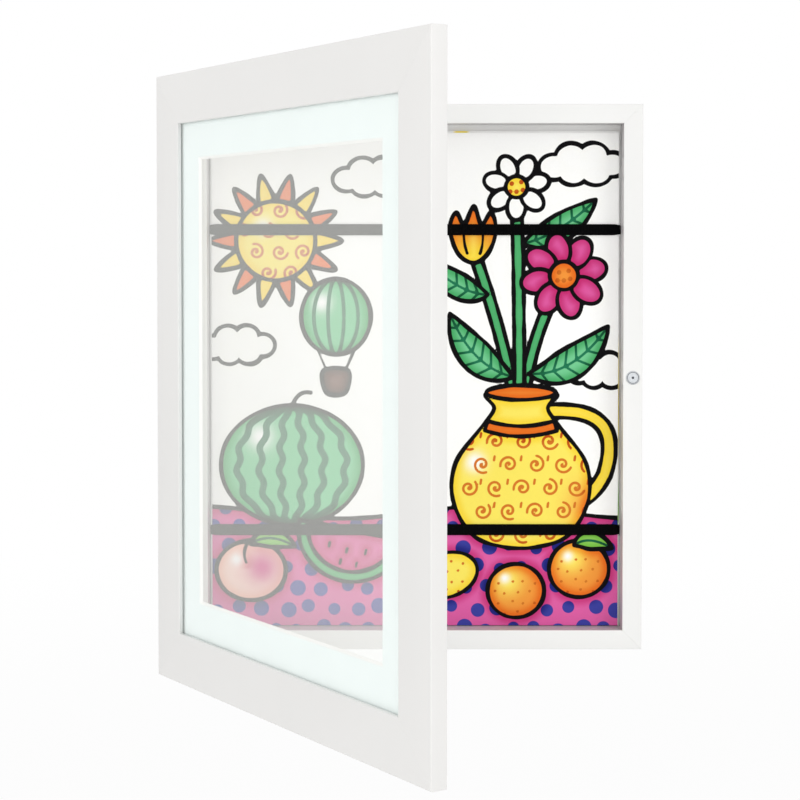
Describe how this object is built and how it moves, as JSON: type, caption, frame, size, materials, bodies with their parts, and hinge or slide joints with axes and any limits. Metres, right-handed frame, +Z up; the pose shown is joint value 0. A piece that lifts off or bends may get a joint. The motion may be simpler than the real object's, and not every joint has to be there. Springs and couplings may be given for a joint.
{
  "type": "art display frame",
  "caption": "Wall-hung front-opening frame: a hinged door with pane and window mat closes over a shallow case that holds a pile of sheets behind elastic straps.",
  "frame": {"origin": "middle of the case top rail's rear face, which lies against the wall", "axes": "+X to the right as seen from the front, +Y into the wall, +Z up; the door opens towards -Y"},
  "size_m": [0.3042, 0.2869, 0.3763],
  "materials": {
    "case_white": "satin white paint on medium-density fibreboard",
    "door_white": "satin white paint on medium-density fibreboard",
    "hardboard": "smooth tempered hardboard",
    "stored_paper": "matt coloured and white paper, a loose pile",
    "art_paper": null,
    "elastic": "woven black elastic, ribbed across",
    "magnet": "nickel-plated magnet, softly polished",
    "pane": "clear safety glass with a pale haze",
    "mat_board": "pale icy-white mat board with a white bevelled core",
    "nickel": "nickel-plated steel",
    "steel": "bright zinc-plated steel"
  },
  "bodies": {
    "case": {"case_top_rail": "case_white", "case_right_stile": "case_white", "case_bottom_rail": "case_white", "case_left_stile": "case_white", "back_panel": "hardboard", "panel_point_1": "steel", "panel_point_2": "steel", "panel_point_3": "steel", "panel_point_4": "steel", "panel_point_5": "steel", "panel_point_6": "steel", "stored_sheets": "stored_paper", "art_sheet": "art_paper", "upper_strap": "elastic", "upper_strap_staple_left": "steel", "upper_strap_staple_right": "steel", "lower_strap": "elastic", "lower_strap_staple_left": "steel", "lower_strap_staple_right": "steel", "top_hanger": "steel", "top_hanger_rivet_1": "steel", "top_hanger_rivet_2": "steel", "side_hanger": "steel", "side_hanger_rivet_1": "steel", "side_hanger_rivet_2": "steel", "catch_magnet": "magnet", "upper_hinge_case_leaf": "steel", "upper_hinge_case_leaf_screw_1": "nickel", "upper_hinge_case_leaf_screw_2": "nickel", "upper_hinge_pin": "steel", "lower_hinge_case_leaf": "steel", "lower_hinge_case_leaf_screw_1": "nickel", "lower_hinge_case_leaf_screw_2": "nickel", "lower_hinge_pin": "steel"},
    "door": {"door_top_rail": "door_white", "door_right_stile": "door_white", "door_bottom_rail": "door_white", "door_left_stile": "door_white", "clear_pane": "pane", "window_mat": "mat_board", "pane_point_1": "steel", "pane_point_2": "steel", "pane_point_3": "steel", "pane_point_4": "steel", "pane_point_5": "steel", "pane_point_6": "steel", "pane_point_7": "steel", "pane_point_8": "steel", "strike_plate": "nickel", "strike_screw": "nickel", "upper_hinge_door_leaf": "steel", "upper_hinge_door_leaf_screw_1": "nickel", "upper_hinge_door_leaf_screw_2": "nickel", "lower_hinge_door_leaf": "steel", "lower_hinge_door_leaf_screw_1": "nickel", "lower_hinge_door_leaf_screw_2": "nickel"}
  },
  "joints": [
    {"name": "door_hinge", "type": "hinge", "parent": "case", "child": "door", "pos_m": [-0.1444, -0.0227, -0.16775], "axis": [0, 0, -1], "range_deg": [-58.2, 37]}
  ]
}
